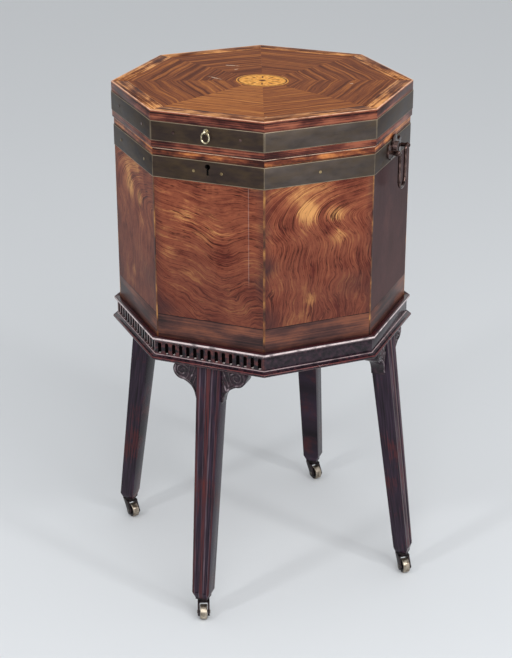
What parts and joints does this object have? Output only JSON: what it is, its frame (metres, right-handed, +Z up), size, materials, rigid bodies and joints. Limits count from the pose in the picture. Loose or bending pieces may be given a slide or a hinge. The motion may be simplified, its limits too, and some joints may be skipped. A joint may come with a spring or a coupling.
{
  "type": "cellarette",
  "caption": "Octagonal mahogany cellarette: a brass-banded box with a hinged lid that lifts off a splayed stand on castors.",
  "frame": {"origin": "on the floor under the middle of the octagon", "axes": "+Z up; -Y towards the front face with the keyhole; +X towards the right handle"},
  "size_m": [0.4887, 0.4929, 0.741],
  "materials": {
    "dark_mahogany": "polished",
    "figured_mahogany": "polished",
    "crossbanding": "polished",
    "carcase_pine": "bare",
    "divider_mahogany": "waxed",
    "boxwood": "polished",
    "patinated_brass": "patinated",
    "polished_brass": "worn",
    "castor_brass": "worn",
    "castor_iron": "dark",
    "zinc": "dull",
    "steel": "dull"
  },
  "bodies": {
    "stand": {"stand_rails": "dark_mahogany", "stand_lip": "dark_mahogany", "base_moulding": "dark_mahogany", "fretwork": "dark_mahogany", "plain_facings": "dark_mahogany", "corner_blocks": "carcase_pine", "leg_front": "dark_mahogany", "leg_right": "dark_mahogany", "leg_back": "dark_mahogany", "leg_left": "dark_mahogany", "carved_brackets": "dark_mahogany", "inner_brackets": "dark_mahogany", "castor_plates": "castor_iron", "castor_screws": "steel"},
    "box": {"carcase_sides": "carcase_pine", "side_veneers": "figured_mahogany", "base_banding": "figured_mahogany", "rim_banding": "figured_mahogany", "corner_stringing": "boxwood", "box_band": "patinated_brass", "box_band_pins": "polished_brass", "box_floor": "carcase_pine", "liner": "zinc", "dividers_lengthwise": "divider_mahogany", "dividers_crosswise": "divider_mahogany", "lock_case": "polished_brass", "hinge_leaves_lower": "polished_brass", "hinge_screws_lower": "steel", "hinge_pins": "polished_brass", "handle_plates": "patinated_brass", "handle_posts": "patinated_brass"},
    "lid": {"lid_frame": "carcase_pine", "lid_board": "carcase_pine", "lid_edge_banding": "figured_mahogany", "lid_band": "patinated_brass", "lid_band_pins": "polished_brass", "lid_crossbanding": "crossbanding", "lid_veneers": "figured_mahogany", "lid_patera": "boxwood", "link_plate": "polished_brass", "hinge_leaves_upper": "polished_brass", "hinge_screws_upper": "steel", "ring_post": "patinated_brass"},
    "bail_right": {"bail_right": "patinated_brass"},
    "bail_left": {"bail_left": "patinated_brass"},
    "ring_pull": {"ring_pull": "patinated_brass"},
    "lock_bolt": {"lock_bolt": "steel"},
    "castor_front": {"castor_fork_front": "castor_iron", "castor_axle_front": "steel"},
    "wheel_front": {"castor_wheel_front": "castor_brass"},
    "castor_right": {"castor_fork_right": "castor_iron", "castor_axle_right": "steel"},
    "wheel_right": {"castor_wheel_right": "castor_brass"},
    "castor_back": {"castor_fork_back": "castor_iron", "castor_axle_back": "steel"},
    "wheel_back": {"castor_wheel_back": "castor_brass"},
    "castor_left": {"castor_fork_left": "castor_iron", "castor_axle_left": "steel"},
    "wheel_left": {"castor_wheel_left": "castor_brass"}
  },
  "joints": [
    {"name": "box_lift", "type": "slide", "parent": "stand", "child": "box", "axis": [0, 0, 1], "range_m": [0, 0.1]},
    {"name": "lid_hinge", "type": "hinge", "parent": "box", "child": "lid", "pos_m": [0, 0.1988, 0.69], "axis": [-1, 0, 0], "range_deg": [0, 95]},
    {"name": "bail_right_hinge", "type": "hinge", "parent": "box", "child": "bail_right", "pos_m": [0.2087, 0, 0.6643], "axis": [0, -1, 0], "range_deg": [0, 90]},
    {"name": "bail_left_hinge", "type": "hinge", "parent": "box", "child": "bail_left", "pos_m": [-0.2087, 0, 0.6643], "axis": [0, 1, 0], "range_deg": [0, 90]},
    {"name": "ring_pull_hinge", "type": "hinge", "parent": "lid", "child": "ring_pull", "pos_m": [0, -0.2011, 0.72], "axis": [-1, 0, 0], "range_deg": [0, 95]},
    {"name": "lock_bolt_slide", "type": "slide", "parent": "box", "child": "lock_bolt", "axis": [1, 0, 0], "range_m": [0, 0.006]},
    {"name": "castor_swivel_front", "type": "hinge", "parent": "stand", "child": "castor_front", "pos_m": [0, -0.23025, 0.027], "axis": [0, 0, 1], "continuous": true},
    {"name": "wheel_spin_front", "type": "hinge", "parent": "castor_front", "child": "wheel_front", "pos_m": [0.00407, -0.23938, 0.0111], "axis": [0.9135, 0.4067, 0], "continuous": true},
    {"name": "castor_swivel_right", "type": "hinge", "parent": "stand", "child": "castor_right", "pos_m": [0.23025, 0, 0.027], "axis": [0, 0, 1], "continuous": true},
    {"name": "wheel_spin_right", "type": "hinge", "parent": "castor_right", "child": "wheel_right", "pos_m": [0.23641, -0.00788, 0.0111], "axis": [0.788, 0.6157, 0], "continuous": true},
    {"name": "castor_swivel_back", "type": "hinge", "parent": "stand", "child": "castor_back", "pos_m": [0, 0.23025, 0.027], "axis": [0, 0, 1], "continuous": true},
    {"name": "wheel_spin_back", "type": "hinge", "parent": "castor_back", "child": "wheel_back", "pos_m": [0.00766, 0.22382, 0.0111], "axis": [0.6428, 0.766, 0], "continuous": true},
    {"name": "castor_swivel_left", "type": "hinge", "parent": "stand", "child": "castor_left", "pos_m": [-0.23025, 0, 0.027], "axis": [0, 0, 1], "continuous": true},
    {"name": "wheel_spin_left", "type": "hinge", "parent": "castor_left", "child": "wheel_left", "pos_m": [-0.22237, -0.00616, 0.0111], "axis": [0.6157, 0.788, 0], "continuous": true}
  ]
}
